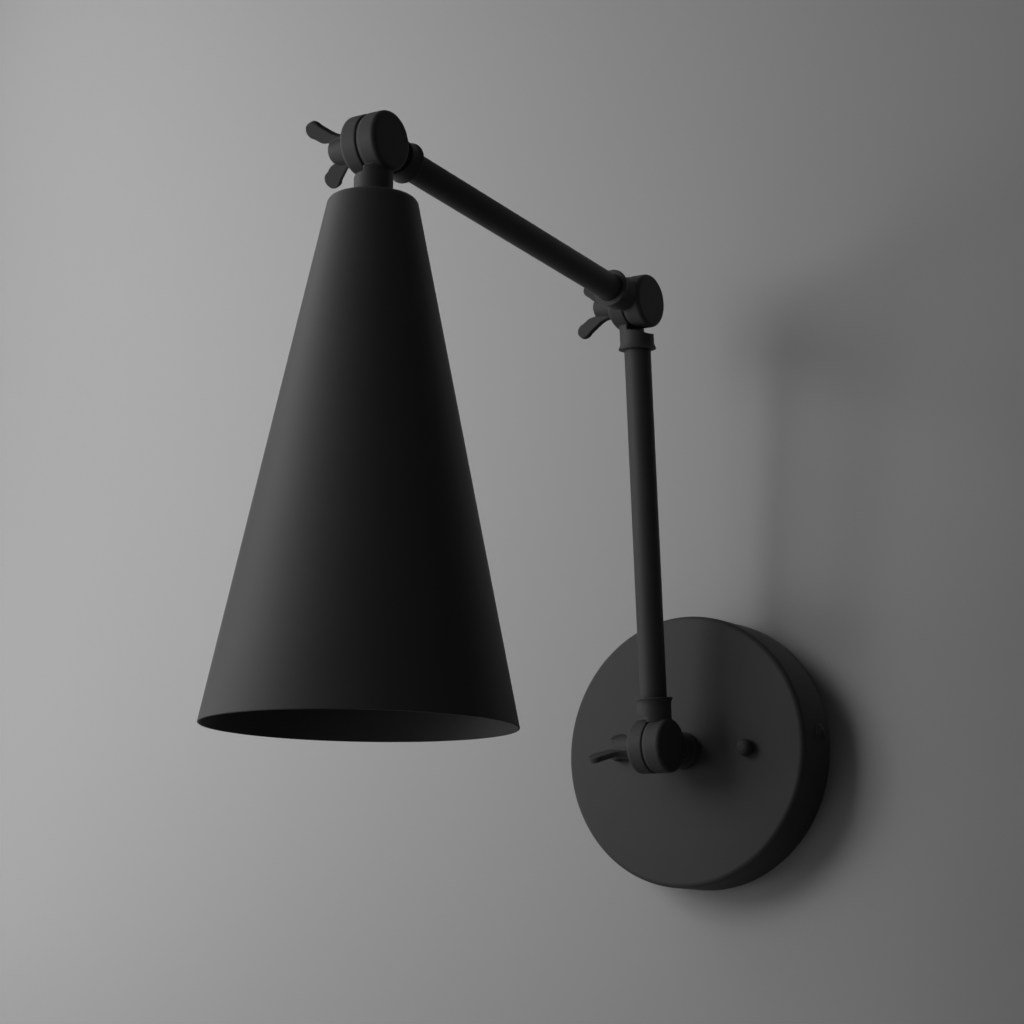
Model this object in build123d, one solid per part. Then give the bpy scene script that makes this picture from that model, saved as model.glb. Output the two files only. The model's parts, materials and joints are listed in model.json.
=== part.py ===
"""Accordion wall lamp: canopy, two straight arms, three friction swivels and a conical shade.

Millimetres. The origin is the centre of the canopy's back, on the wall. +Z is up, +X is to the
right as seen from the room, and the lamp stands out of the wall towards -Y. Every arm and the
shade lie in the plane X = 0, and every swivel turns about an axis along X.
"""

from build123d import *
import os
from math import atan, cos, radians, sin, tan

# ---- Driving dimensions ----
CANOPY_RADIUS = 65.0
CANOPY_DEPTH = 26.2
CANOPY_WALL = 1.2
CANOPY_CORNER = 2.6
WALL_TO_PIVOT = 51.2
LOWER_ARM = 211.5
UPPER_ARM = 206.4
LOWER_ARM_LEAN = 5.64
UPPER_ARM_RISE = 5.39
TUBE_RADIUS = 6.35
TUBE_BORE = 4.4

# ---- Shade, measured along its axis from the shade pivot ----
SHADE_TOP = 23.6
SHADE_MOUTH = 241.7
SHADE_TOP_RADIUS = 18.35
SHADE_MOUTH_RADIUS = 63.85
SHADE_WALL = 0.9
SHADE_CORNER = 3.6
RIM_ROUND = 0.3

# ---- Swivel halves ----
DISC_RADIUS = 12.7
DISC_FACE = 9.1
DISC_EDGE = 1.9
DISC_INNER_EDGE = 0.5
HALF_GAP = 0.5
BOSS_RADIUS = 8.15
BOSS_END = 22.8
LIP_RADIUS = 9.05
LIP_START = 19.4
LIP_EDGE = 0.2
LIP_FACE = 0.7
SHOULDER = 16.0
BOSS_ROOT = 11.2
BORE_FLOOR = 17.0
TUBE_SOCKET = 2.2
WIRE_RING_INNER = 4.2
WIRE_RING_OUTER = 8.2
WIRE_RING_DEPTH = 3.6
WIRE_HOLE = 1.8
WIRE_HOLE_OFF = 2.8

# ---- Threads, as plain cylinders of their outside size ----
NIPPLE_RADIUS = 5.13
NIPPLE_BORE = 3.6
NIPPLE_HOLE = 5.16
NIPPLE_PASS = 5.3
THREAD_END_GAP = 0.2
NIPPLE_IN_TUBE = 9.0
TAP_DEPTH = 9.5
SLIP_FIT = 0.03
RING_FIT = 0.04
THREAD_EDGE = 0.4
STUD_RADIUS = 3.0
STUD_RUN = 3.05
STUD_THREAD = 3.03
STUD_DEPTH = 6.0
STUD_END = 21.8
STUD_EDGE = 0.5
SCREW_RADIUS = 2.0
SCREW_THREAD = 2.05
SCREW_PASS = 2.4
DRIVER_SLOT = (12.0, 0.8, 1.6)

# ---- Washers, rings and nuts ----
FRICTION_INNER = 8.6
FRICTION_OUTER = 12.0
FRICTION_THICK = 0.95
FLAT_WASHER_RADIUS = 6.4
FLAT_WASHER_THICK = 1.2
SPRING_WASHER_RADIUS = 5.3
SPRING_WASHER_THICK = 1.6
WASHER_CLEARANCE = 0.2
WASHER_EDGE = 0.3
SPRING_SPLIT = 0.6
SPRING_SPLIT_LEAN = 35.0
CHECK_RING_RADIUS = 8.9
CHECK_RING_EDGE = 0.4
LOCK_WASHER_RADIUS = 7.8
LOCK_WASHER_THICK = 0.8
LOCK_WASHER_TEETH = 10
LOCK_WASHER_NOTCH = (1.7, 1.0)
LOCKNUT_FLATS = 14.3
LOCKNUT_THICK = 3.6
NIPPLE_STICKOUT = 2.0
HEXAGON_EDGE = 0.6
HEXAGON_CHAMFER = 33.0

# ---- Wing nut ----
HUB_BASE_RADIUS = 6.3
HUB_TOP_RADIUS = 5.0
HUB_HEIGHT = 9.5
HUB_EDGE = 1.6
WING_TIP_RADIUS = 3.8
WING_TIP_OUT = 11.1
WING_TIP_UP = 14.7
WING_LEAN = 49.0
WING_WIDTH = 6.8
WING_ROOT = 7.6
WING_THICK = 2.7
NUT_GAP = 0.05

# ---- Behind and on the canopy ----
STUD_SPACING = 69.85
SLOT_SPACING = 88.9
SLOT_LENGTH = 11.4
SLOT_RADIUS = 2.4
CROSSBAR_LENGTH = 110.0
CROSSBAR_WIDTH = 20.0
CROSSBAR_THICK = 1.8
CROSSBAR_CENTRE_HOLE = 5.2
STUD_START = 0.3
STUD_IN_KNOB = 4.0
STUD_NUT_FLATS = 8.7
STUD_NUT_THICK = 2.6
KNOB_RADIUS = 4.05
KNOB_HEIGHT = 6.0
KNOB_COLLAR = 0.8
KNOB_CROWN = 1.6
GROUND_SCREW_OFFSET = 17.0
GROUND_FLANGE_RADIUS = 4.6
GROUND_FLANGE_THICK = 0.8
GROUND_HEAD_FLATS = 6.4
GROUND_HEAD_THICK = 2.6
SIDE_PLUG_HEIGHT = 9.0
SIDE_PLUG_ANGLE = 7.0
SIDE_PLUG_RADIUS = 4.0
SIDE_PLUG_RISE = 1.6
SIDE_PLUG_SHANK = 2.9
SIDE_PLUG_SHANK_LENGTH = 4.0
SIDE_PLUG_WALL = 0.8
SIDE_PLUG_HOLE = 3.0
SIDE_PLUG_GAP = 0.02

# ---- Lampholder, measured along the shade's axis from the shade pivot ----
CAP_TOP = 31.2
CAP_NECK_RADIUS = 7.6
CAP_NECK_END = 36.6
CAP_END = 45.0
HOLDER_RADIUS = 17.0
HOLDER_SPIGOT = 15.2
HOLDER_END = 84.0
HOLDER_WEB_TOP = 48.0
HOLDER_PIT_FLOOR = 52.0
HOLDER_PIT_RADIUS = 9.7
HOLDER_WEB_END = 56.0
HOLDER_BORE = 13.7
SHELL_RADIUS = 13.2
SHELL_OUTER = 13.65
SHELL_END = 82.0
NIPPLE_IN_CAP = 36.0
CAP_WALL = 1.7
HOLDER_EDGE = 1.2
SPIGOT_LENGTH = 3.6
SPIGOT_WALL = 1.8
SHELL_FLANGE = 0.5
SHELL_FLANGE_INNER = 10.0
SMALL_SCREW = 1.45
SMALL_SCREW_HOLE = 1.5
SET_SCREW_DROP = 2.8
RIVET_OFFSET = -7.0
CONTACT_WIDTH = 5.0
CONTACT_RISE = 3.2
CONTACT_THICK = 0.6
CONTACT_FOOT = 2.2
CONTACT_SLOPE = 2.6
CONTACT_TIP = 3.5
TERMINAL_PLACE = (2.0, 7.5)
TERMINAL_HEAD = 3.0
TERMINAL_HEAD_THICK = 2.0
TERMINAL_SHANK = 4.0

# ---- Rest angles of each direction in the plane X = 0, from +Y (the wall) towards +Z (up) ----
WALL_ANGLE = 0.0
LOWER_ANGLE = 90.0 + LOWER_ARM_LEAN
UPPER_ANGLE = 180.0 - UPPER_ARM_RISE
SHADE_ANGLE = 270.0
WING_ANGLES = {"wall": -152.0, "elbow": -102.0, "shade": 127.0}


def along(start, angle, distance):
    """Return the (y, z) point at a distance from start along an angle of the plane X = 0."""
    y, z = start
    return (y + distance * cos(radians(angle)), z + distance * sin(radians(angle)))


WALL_PIVOT = (-WALL_TO_PIVOT, 0.0)
ELBOW_PIVOT = along(WALL_PIVOT, LOWER_ANGLE, LOWER_ARM)
SHADE_PIVOT = along(ELBOW_PIVOT, UPPER_ANGLE, UPPER_ARM)
CHECK_RING_THICK = WALL_TO_PIVOT - CANOPY_DEPTH - BOSS_END
SHADE_SLOPE = (SHADE_MOUTH_RADIUS - SHADE_TOP_RADIUS) / (SHADE_MOUTH - SHADE_TOP)


# ---- Shared helpers ----
def base_cylinder(radius, height, start=0.0):
    """Return a cylinder about local Z that rises from the height start."""
    return Pos(0, 0, start) * Cylinder(radius, height, align=(Align.CENTER, Align.CENTER, Align.MIN))


def ring(outer, inner, height, start=0.0):
    """Return a flat ring about local Z."""
    return base_cylinder(outer, height, start) - base_cylinder(inner, height, start)


def turned(outline):
    """Return the solid that a closed outline of (radius, height) points turns about local Z."""
    return revolve(Plane.XZ * make_face(Polyline(*outline, close=True)), axis=Axis.Z)


def aim(part, pivot, angle):
    """Put a part built about local Z at a pivot, with local Z along an angle of the plane X = 0."""
    return Pos(0, *pivot) * Rot(angle - 90, 0, 0) * part


def off_wall(part):
    """Turn a part built about local Z so that its height is its distance out of the wall."""
    return Rot(90, 0, 0) * part


def to_left(part):
    """Turn a part built about local Z so that its height runs along -X."""
    return Rot(0, -90, 0) * part


def driver_slot(height):
    """Return the screwdriver slot to cut in a head whose top is at a height about local Z."""
    return Pos(0, 0, height) * Box(*DRIVER_SLOT)


def hexagon(flats, height, start=0.0):
    """Return a hexagonal prism about local Z, its corners chamfered as on a machined nut."""
    prism = extrude(Pos(0, 0, start) * RegularPolygon(flats / 2, 6, major_radius=False), height)
    corner = flats / 2 / cos(radians(30))
    rise = min(HEXAGON_EDGE, height / 4)
    inset = rise / tan(radians(HEXAGON_CHAMFER))
    cone = turned(
        [
            (0, start),
            (corner - inset, start),
            (corner, start + rise),
            (corner, start + height - rise),
            (corner - inset, start + height),
            (0, start + height),
        ]
    )
    return prism & cone


def side_edges(part, height):
    """Return the round edges of a part that lie at one height about local Z."""
    return part.edges().filter_by(GeomType.CIRCLE).filter_by_position(Axis.Z, height - 0.01, height + 0.01)


# ---- Swivels ----
def boss_blank():
    """Return a swivel boss with its trumpet lip, solid, about local Z from the root to the end."""
    with BuildSketch(Plane.XZ) as profile:
        with BuildLine():
            root = Line((0, BOSS_ROOT), (BOSS_RADIUS, BOSS_ROOT))
            side = Line(root @ 1, (BOSS_RADIUS, LIP_START))
            flare = TangentArc(side @ 1, (LIP_RADIUS, BOSS_END - LIP_FACE), tangent=(0, 1))
            edge = Line(flare @ 1, (LIP_RADIUS, BOSS_END - LIP_EDGE))
            bevel = Line(edge @ 1, (LIP_RADIUS - LIP_EDGE, BOSS_END))
            end = Line(bevel @ 1, (0, BOSS_END))
            Line(end @ 1, root @ 0)
        make_face()
    return revolve(profile.sketch, axis=Axis.Z)


def swivel_half(side, socket):
    """Return one half of a swivel about local Z.

    side is 1 for the half with the closed face, on +X, and -1 for the half the wing nut bears on.
    socket is the depth of the recess that takes a tube's end, or 0.
    """
    disc = Cylinder(DISC_RADIUS, DISC_FACE - HALF_GAP, rotation=(0, 90, 0))
    disc = Pos(side * (DISC_FACE + HALF_GAP) / 2, 0, 0) * disc
    outer_edge = disc.edges().filter_by(GeomType.CIRCLE).sort_by(Axis.X)[-1 if side > 0 else 0]
    disc = fillet(outer_edge, DISC_EDGE)
    inner_edge = disc.edges().filter_by(GeomType.CIRCLE).sort_by(Axis.X)[0 if side > 0 else -1]
    disc = chamfer(inner_edge, DISC_INNER_EDGE)
    beside = Cylinder(SHOULDER, 2 * (DISC_FACE + HALF_GAP), rotation=(0, 90, 0))
    beside = Pos(-side * DISC_FACE, 0, 0) * beside
    half = disc + (boss_blank() - beside)
    half -= base_cylinder(NIPPLE_HOLE, BOSS_END, BORE_FLOOR)
    if socket:
        half -= base_cylinder(TUBE_RADIUS + SLIP_FIT, 2 * socket, BOSS_END - socket)
    return half - wire_way(side) - pivot_hole(side)


def wire_way(side):
    """Return the room for the leads in a swivel half: a ring round the stud and a hole to the boss."""
    middle = side * (HALF_GAP + WIRE_RING_DEPTH / 2)
    outer = Cylinder(WIRE_RING_OUTER, WIRE_RING_DEPTH, rotation=(0, 90, 0))
    inner = Cylinder(WIRE_RING_INNER, WIRE_RING_DEPTH, rotation=(0, 90, 0))
    start = (WIRE_RING_INNER + WIRE_RING_OUTER) / 2
    hole = base_cylinder(WIRE_HOLE, BORE_FLOOR - start + WIRE_HOLE / 2, start)
    return Pos(middle, 0, 0) * (outer - inner) + Pos(side * WIRE_HOLE_OFF, 0, 0) * hole


def pivot_hole(side):
    """Return the stud's hole: threaded and blind on the closed half, a running fit on the other."""
    if side > 0:
        return Pos(STUD_DEPTH / 2, 0, 0) * Cylinder(STUD_THREAD, STUD_DEPTH, rotation=(0, 90, 0))
    return Pos(-DISC_FACE, 0, 0) * Cylinder(STUD_RUN, 2 * DISC_FACE, rotation=(0, 90, 0))


def pivot_stud():
    """Return the stud of a swivel along X, from inside the closed half out past the wing nut."""
    start = THREAD_END_GAP - STUD_DEPTH
    blank = base_cylinder(STUD_RADIUS, STUD_END - start, start)
    ends = blank.edges().filter_by(GeomType.CIRCLE)
    return to_left(chamfer(ends, STUD_EDGE))


def friction_washer():
    """Return the fibre washer between two swivel halves, on the closed half's face."""
    return to_left(ring(FRICTION_OUTER, FRICTION_INNER, FRICTION_THICK, -HALF_GAP))


def flat_washer():
    """Return the flat washer that lies on the outside of a swivel."""
    blank = ring(FLAT_WASHER_RADIUS, STUD_RADIUS + WASHER_CLEARANCE, FLAT_WASHER_THICK, DISC_FACE)
    return to_left(fillet(side_edges(blank, DISC_FACE + FLAT_WASHER_THICK)[-1], WASHER_EDGE))


def spring_washer():
    """Return the split spring washer under the wing nut."""
    start = DISC_FACE + FLAT_WASHER_THICK
    blank = ring(SPRING_WASHER_RADIUS, STUD_RADIUS + WASHER_CLEARANCE, SPRING_WASHER_THICK, start)
    place = Pos((STUD_RADIUS + SPRING_WASHER_RADIUS) / 2, 0, start + SPRING_WASHER_THICK / 2)
    split = Box(STUD_RADIUS, SPRING_SPLIT, 2 * SPRING_WASHER_THICK)
    return to_left(blank - place * Rot(SPRING_SPLIT_LEAN, 0, 0) * split)


# ---- Wing nut ----
def wing_outline():
    """Return the face of one wing in (outward, height): a parallel paddle with a round tip.

    The paddle leans outward, and its two edges sweep into the hub in hollow curves.
    """
    tip = Vector(WING_TIP_OUT, WING_TIP_UP)
    lean = Vector(cos(radians(WING_LEAN)), sin(radians(WING_LEAN)))
    below = Vector(lean.Y, -lean.X) * (WING_WIDTH / 2)
    root = tip - lean * WING_ROOT
    with BuildSketch() as outline:
        with BuildLine():
            low = Line(tip + below, root + below)
            low_sweep = TangentArc(low @ 1, (HUB_BASE_RADIUS - SLIP_FIT, 0), tangent=-lean)
            foot = Line(low_sweep @ 1, (STUD_RADIUS, 0))
            inside = Line(foot @ 1, (STUD_RADIUS, HUB_HEIGHT - HUB_EDGE))
            crest = Line(inside @ 1, (STUD_RADIUS + HUB_EDGE, HUB_HEIGHT))
            high_sweep = TangentArc(tip - below - lean * WING_TIP_RADIUS, crest @ 1, tangent=-lean)
            high = Line(high_sweep @ 0, tip - below)
            Line(high @ 1, low @ 0)
        make_face()
        with Locations(tip):
            Circle(WING_TIP_RADIUS)
    return outline.sketch


def wing_nut(angle):
    """Return a wing nut on the left of a swivel, one wing at an angle of the plane X = 0."""
    hub = turned([(0, 0), (HUB_BASE_RADIUS, 0), (HUB_TOP_RADIUS, HUB_HEIGHT), (0, HUB_HEIGHT)])
    hub = fillet(side_edges(hub, HUB_HEIGHT), HUB_EDGE)
    wing = extrude(Plane.XZ * wing_outline(), WING_THICK / 2, both=True)
    nut = hub + wing + Rot(0, 0, 180) * wing
    nut -= base_cylinder(STUD_RUN, WING_TIP_UP)
    base = DISC_FACE + FLAT_WASHER_THICK + SPRING_WASHER_THICK + NUT_GAP
    return Rot(angle - 90, 0, 0) * to_left(Pos(0, 0, base) * nut)


def joint_hardware(pivot, prefix):
    """Return a joint's stud, washers and wing nut, named for the joint, at its pivot."""
    pieces = {
        "stud": pivot_stud(),
        "friction_washer": friction_washer(),
        "flat_washer": flat_washer(),
        "spring_washer": spring_washer(),
        "wing_nut": wing_nut(WING_ANGLES[prefix]),
    }
    return {f"{prefix}_joint_{name}": Pos(0, *pivot) * piece for name, piece in pieces.items()}


# ---- Threaded tubes, nuts and rings on the nipples ----
def nipple(start, end):
    """Return a threaded lamp nipple about local Z."""
    blank = base_cylinder(NIPPLE_RADIUS, end - start, start)
    blank = chamfer(blank.edges().filter_by(GeomType.CIRCLE), THREAD_EDGE)
    return blank - base_cylinder(NIPPLE_BORE, end - start, start)


def lock_washer(start):
    """Return an internal-tooth lock washer about local Z."""
    bore = NIPPLE_HOLE + RING_FIT
    washer = ring(LOCK_WASHER_RADIUS, bore, LOCK_WASHER_THICK, start)
    notch = Box(*LOCK_WASHER_NOTCH, LOCK_WASHER_THICK * 2)
    for tooth in range(LOCK_WASHER_TEETH):
        turn = Rot(0, 0, tooth * 360 / LOCK_WASHER_TEETH)
        washer -= turn * Pos(bore + LOCK_WASHER_NOTCH[1] / 2, 0, start + LOCK_WASHER_THICK / 2) * notch
    return washer


def locknut(start):
    """Return a thin hexagon nut for a lamp nipple about local Z."""
    return hexagon(LOCKNUT_FLATS, LOCKNUT_THICK, start) - base_cylinder(NIPPLE_HOLE, LOCKNUT_THICK, start)


def check_ring(thick):
    """Return the turned ring between a boss and the sheet metal it is fastened to."""
    blank = ring(CHECK_RING_RADIUS, NIPPLE_HOLE + RING_FIT, thick, BOSS_END)
    return fillet(side_edges(blank, BOSS_END + thick)[-1], CHECK_RING_EDGE)


# ---- Wall side ----
def canopy():
    """Return the canopy cup, open at the wall, with its three face holes and its side hole."""
    outer = base_cylinder(CANOPY_RADIUS, CANOPY_DEPTH)
    outer = fillet(side_edges(outer, CANOPY_DEPTH), CANOPY_CORNER)
    hollow = base_cylinder(CANOPY_RADIUS - CANOPY_WALL, CANOPY_DEPTH - CANOPY_WALL)
    hollow = fillet(side_edges(hollow, CANOPY_DEPTH - CANOPY_WALL), CANOPY_CORNER - CANOPY_WALL)
    cup = outer - hollow - base_cylinder(NIPPLE_PASS, CANOPY_DEPTH + 1)
    for side in (-1, 1):
        cup -= Pos(side * STUD_SPACING / 2, 0, 0) * base_cylinder(SCREW_PASS, CANOPY_DEPTH + 1)
    side_hole = base_cylinder(SIDE_PLUG_HOLE, 3 * CANOPY_WALL, CANOPY_RADIUS - 2 * CANOPY_WALL)
    return off_wall(cup) - on_side(side_hole)


def on_side(part):
    """Put a part built about local Z so that it points out of the canopy's side hole."""
    return Pos(0, -SIDE_PLUG_HEIGHT, 0) * Rot(0, 90 - SIDE_PLUG_ANGLE, 0) * part


def side_plug():
    """Return the domed plug in the canopy's side hole, with its hollow shank."""
    seat = CANOPY_RADIUS + SIDE_PLUG_GAP
    sphere = (SIDE_PLUG_RADIUS**2 + SIDE_PLUG_RISE**2) / (2 * SIDE_PLUG_RISE)
    dome = Pos(0, 0, seat + SIDE_PLUG_RISE - sphere) * Sphere(sphere)
    dome &= base_cylinder(SIDE_PLUG_RADIUS, 2 * SIDE_PLUG_RISE, seat)
    bore = SIDE_PLUG_SHANK - SIDE_PLUG_WALL
    shank = ring(SIDE_PLUG_SHANK, bore, SIDE_PLUG_SHANK_LENGTH, seat - SIDE_PLUG_SHANK_LENGTH)
    return on_side(dome + shank)


def crossbar():
    """Return the slotted strap that the canopy hangs from, its back against the wall."""
    strap = extrude(SlotOverall(CROSSBAR_LENGTH, CROSSBAR_WIDTH), CROSSBAR_THICK)
    strap -= base_cylinder(CROSSBAR_CENTRE_HOLE, CROSSBAR_THICK)
    strap -= Pos(GROUND_SCREW_OFFSET, 0, 0) * base_cylinder(SCREW_THREAD, CROSSBAR_THICK)
    for side in (-1, 1):
        slot = extrude(SlotOverall(SLOT_LENGTH, 2 * SLOT_RADIUS), CROSSBAR_THICK)
        strap -= Pos(side * SLOT_SPACING / 2, 0, 0) * slot
        strap -= Pos(side * STUD_SPACING / 2, 0, 0) * base_cylinder(SCREW_THREAD, CROSSBAR_THICK)
    return off_wall(strap)


def at_both_studs(part):
    """Return a part at both canopy studs, as one group of two solids."""
    return Compound([Pos(side * STUD_SPACING / 2, 0, 0) * off_wall(part) for side in (-1, 1)])


def canopy_stud():
    """Return one canopy stud about local Z, from the crossbar out into its knob."""
    end = CANOPY_DEPTH + STUD_IN_KNOB
    stud = base_cylinder(SCREW_RADIUS, end - STUD_START, STUD_START)
    return chamfer(side_edges(stud, end), THREAD_EDGE)


def canopy_knob():
    """Return one canopy knob about local Z: a low collar under a round head, bored blind."""
    with BuildSketch(Plane.XZ) as profile:
        with BuildLine():
            foot = Line((0, 0), (KNOB_RADIUS - KNOB_COLLAR, 0))
            collar = Line(foot @ 1, (KNOB_RADIUS - KNOB_COLLAR, KNOB_COLLAR))
            step = Line(collar @ 1, (KNOB_RADIUS, 2 * KNOB_COLLAR))
            side = Line(step @ 1, (KNOB_RADIUS, KNOB_HEIGHT / 2))
            dome = TangentArc(side @ 1, (KNOB_COLLAR, KNOB_HEIGHT), tangent=(0, 1))
            cap = Line(dome @ 1, (0, KNOB_HEIGHT))
            Line(cap @ 1, foot @ 0)
        make_face()
    knob = revolve(profile.sketch, axis=Axis.Z) - base_cylinder(SCREW_THREAD, KNOB_HEIGHT - KNOB_CROWN)
    return Pos(0, 0, CANOPY_DEPTH) * knob


def stud_locknut():
    """Return one of the thin nuts that lock the canopy studs on the crossbar."""
    blank = hexagon(STUD_NUT_FLATS, STUD_NUT_THICK, CROSSBAR_THICK)
    return blank - base_cylinder(SCREW_THREAD, STUD_NUT_THICK, CROSSBAR_THICK)


def ground_screw():
    """Return the flanged hexagon ground screw on the crossbar, with its driver slot."""
    seat = CROSSBAR_THICK + GROUND_FLANGE_THICK
    shank = base_cylinder(SCREW_RADIUS, seat - STUD_START, STUD_START)
    flange = base_cylinder(GROUND_FLANGE_RADIUS, GROUND_FLANGE_THICK, CROSSBAR_THICK)
    head = hexagon(GROUND_HEAD_FLATS, GROUND_HEAD_THICK, seat)
    screw = shank + flange + head - driver_slot(seat + GROUND_HEAD_THICK)
    return off_wall(Pos(GROUND_SCREW_OFFSET, 0, 0) * screw)


def wall_pieces():
    """Return every piece that stays on the wall."""
    sheet = BOSS_END + CHECK_RING_THICK + CANOPY_WALL
    nut_start = sheet + LOCK_WASHER_THICK
    nipple_end = nut_start + LOCKNUT_THICK + NIPPLE_STICKOUT
    turned_pieces = {
        "wall_swivel_half": swivel_half(-1, 0),
        "wall_check_ring": check_ring(CHECK_RING_THICK),
        "wall_nipple": nipple(BORE_FLOOR + THREAD_END_GAP, nipple_end),
        "wall_lock_washer": lock_washer(sheet),
        "wall_locknut": locknut(nut_start),
    }
    pieces = {name: aim(piece, WALL_PIVOT, WALL_ANGLE) for name, piece in turned_pieces.items()}
    pieces["canopy"] = canopy()
    pieces["side_plug"] = side_plug()
    pieces["crossbar"] = crossbar()
    pieces["canopy_studs"] = at_both_studs(canopy_stud())
    pieces["canopy_knobs"] = at_both_studs(canopy_knob())
    pieces["stud_locknuts"] = at_both_studs(stud_locknut())
    pieces["ground_screw"] = ground_screw()
    return pieces


# ---- Arms ----
def arm_tube(length):
    """Return an arm's tube about local Z from its foot pivot, tapped at both ends for a nipple."""
    socket = BOSS_END - TUBE_SOCKET
    tube = ring(TUBE_RADIUS, TUBE_BORE, length - 2 * socket, socket)
    tube -= base_cylinder(NIPPLE_HOLE, TAP_DEPTH, socket)
    return tube - base_cylinder(NIPPLE_HOLE, TAP_DEPTH, length - socket - TAP_DEPTH)


def arm_nipples(length):
    """Return an arm's two nipples, each half in a boss and half in the tube."""
    start = BORE_FLOOR + THREAD_END_GAP
    end = BOSS_END - TUBE_SOCKET + NIPPLE_IN_TUBE
    return [nipple(start, end), nipple(length - end, length - start)]


def arm_pieces(name, length, pivot, angle):
    """Return the four parts of one arm: foot half, head half, tube and nipples."""
    head = Pos(0, 0, length) * Rot(180, 0, 0) * swivel_half(-1, TUBE_SOCKET)
    nipples = [aim(piece, pivot, angle) for piece in arm_nipples(length)]
    return {
        f"{name}_foot_half": aim(swivel_half(1, TUBE_SOCKET), pivot, angle),
        f"{name}_head_half": aim(head, pivot, angle),
        f"{name}_tube": aim(arm_tube(length), pivot, angle),
        f"{name}_nipples": Compound(nipples),
    }


# ---- Shade and lampholder ----
def shade_radius(height):
    """Return the shade's outer radius at a height along its axis."""
    return SHADE_TOP_RADIUS + (height - SHADE_TOP) * SHADE_SLOPE


def shade_cone(inset, top, corner):
    """Return the solid cone of the shade, drawn in by inset, with its top corner rounded."""
    mouth = SHADE_MOUTH + inset
    top_radius = shade_radius(top) - inset
    mouth_radius = shade_radius(mouth) - inset
    cone = turned([(0, top), (top_radius, top), (mouth_radius, mouth), (0, mouth)])
    return fillet(side_edges(cone, top), corner)


def shade():
    """Return the conical shade, a thin spun shell open at the mouth, with the nipple's hole."""
    inset = SHADE_WALL / cos(atan(SHADE_SLOPE))
    hollow = shade_cone(inset, SHADE_TOP + SHADE_WALL, SHADE_CORNER - SHADE_WALL)
    shell = shade_cone(0, SHADE_TOP, SHADE_CORNER) - hollow
    shell -= base_cylinder(NIPPLE_PASS, SHADE_WALL + 2, SHADE_TOP - 1)
    return fillet(side_edges(shell, SHADE_MOUTH), RIM_ROUND)


def lampholder_cap():
    """Return the lampholder's cap: a threaded neck on a domed shell, with the set screw's hole."""
    cap = turned(
        [
            (0, CAP_TOP),
            (CAP_NECK_RADIUS, CAP_TOP),
            (CAP_NECK_RADIUS, CAP_NECK_END),
            (HOLDER_RADIUS - CAP_WALL / 2, CAP_NECK_END + CAP_WALL / 2),
            (HOLDER_RADIUS, CAP_NECK_END + CAP_WALL),
            (HOLDER_RADIUS, CAP_END),
            (0, CAP_END),
        ]
    )
    cap -= base_cylinder(NIPPLE_HOLE, CAP_END, CAP_TOP)
    cap -= base_cylinder(HOLDER_SPIGOT + RING_FIT, CAP_END, CAP_NECK_END + CAP_WALL)
    return cap - set_screw_place() * base_cylinder(SMALL_SCREW_HOLE, CAP_NECK_RADIUS)


def set_screw_place():
    """Return the place of the cap's set screw, square to the neck, on its +X side."""
    return Pos(0, 0, CAP_TOP + SET_SCREW_DROP) * Rot(0, 90, 0)


def cap_set_screw():
    """Return the slotted set screw that locks the cap on the nipple."""
    start = NIPPLE_RADIUS + RING_FIT
    screw = base_cylinder(SMALL_SCREW, CAP_NECK_RADIUS - start, start)
    return set_screw_place() * (screw - driver_slot(CAP_NECK_RADIUS))


def lampholder_body():
    """Return the lampholder's moulded body: spigot, web, contact pit and screw shell's well."""
    body = base_cylinder(HOLDER_RADIUS, HOLDER_END - CAP_END, CAP_END)
    body = fillet(side_edges(body, HOLDER_END), HOLDER_EDGE)
    spigot_top = CAP_END - SPIGOT_LENGTH
    body += base_cylinder(HOLDER_SPIGOT, SPIGOT_LENGTH, spigot_top)
    body -= base_cylinder(HOLDER_SPIGOT - SPIGOT_WALL, HOLDER_WEB_TOP - spigot_top, spigot_top)
    body -= base_cylinder(HOLDER_BORE, HOLDER_END - HOLDER_WEB_END, HOLDER_WEB_END)
    body -= base_cylinder(HOLDER_PIT_RADIUS, HOLDER_WEB_END - HOLDER_PIT_FLOOR, HOLDER_PIT_FLOOR)
    small_hole = base_cylinder(SMALL_SCREW_HOLE, HOLDER_WEB_END)
    for place in [(RIVET_OFFSET, 0), *terminal_places()]:
        body -= Pos(*place, 0) * small_hole
    return body


def screw_shell():
    """Return the lampholder's screw shell, a thin cup with a flange on the web."""
    shell = ring(SHELL_OUTER, SHELL_RADIUS, SHELL_END - HOLDER_WEB_END, HOLDER_WEB_END)
    return shell + ring(SHELL_OUTER, SHELL_FLANGE_INNER, SHELL_FLANGE, HOLDER_WEB_END)


def centre_contact():
    """Return the sprung centre contact and the rivet that holds it on the floor of its pit."""
    low = HOLDER_PIT_FLOOR
    high = low + CONTACT_RISE
    back = RIVET_OFFSET - CONTACT_FOOT
    bend = RIVET_OFFSET + CONTACT_FOOT
    crest = bend + CONTACT_SLOPE
    strip = Polyline(
        (back, low),
        (bend, low),
        (crest, high),
        (CONTACT_TIP, high),
        (CONTACT_TIP, high + CONTACT_THICK),
        (crest - CONTACT_THICK / 2, high + CONTACT_THICK),
        (bend - CONTACT_THICK / 2, low + CONTACT_THICK),
        (back, low + CONTACT_THICK),
        close=True,
    )
    tongue = extrude(Plane.XZ * make_face(strip), CONTACT_WIDTH / 2, both=True)
    rivet = base_cylinder(SMALL_SCREW, low - HOLDER_WEB_TOP + 2 * CONTACT_THICK, HOLDER_WEB_TOP)
    return tongue + Pos(RIVET_OFFSET, 0, 0) * rivet


def terminal_places():
    """Return the (x, y) places of the two terminal screws on the web."""
    offset, spread = TERMINAL_PLACE
    return [(offset, -spread), (offset, spread)]


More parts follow.
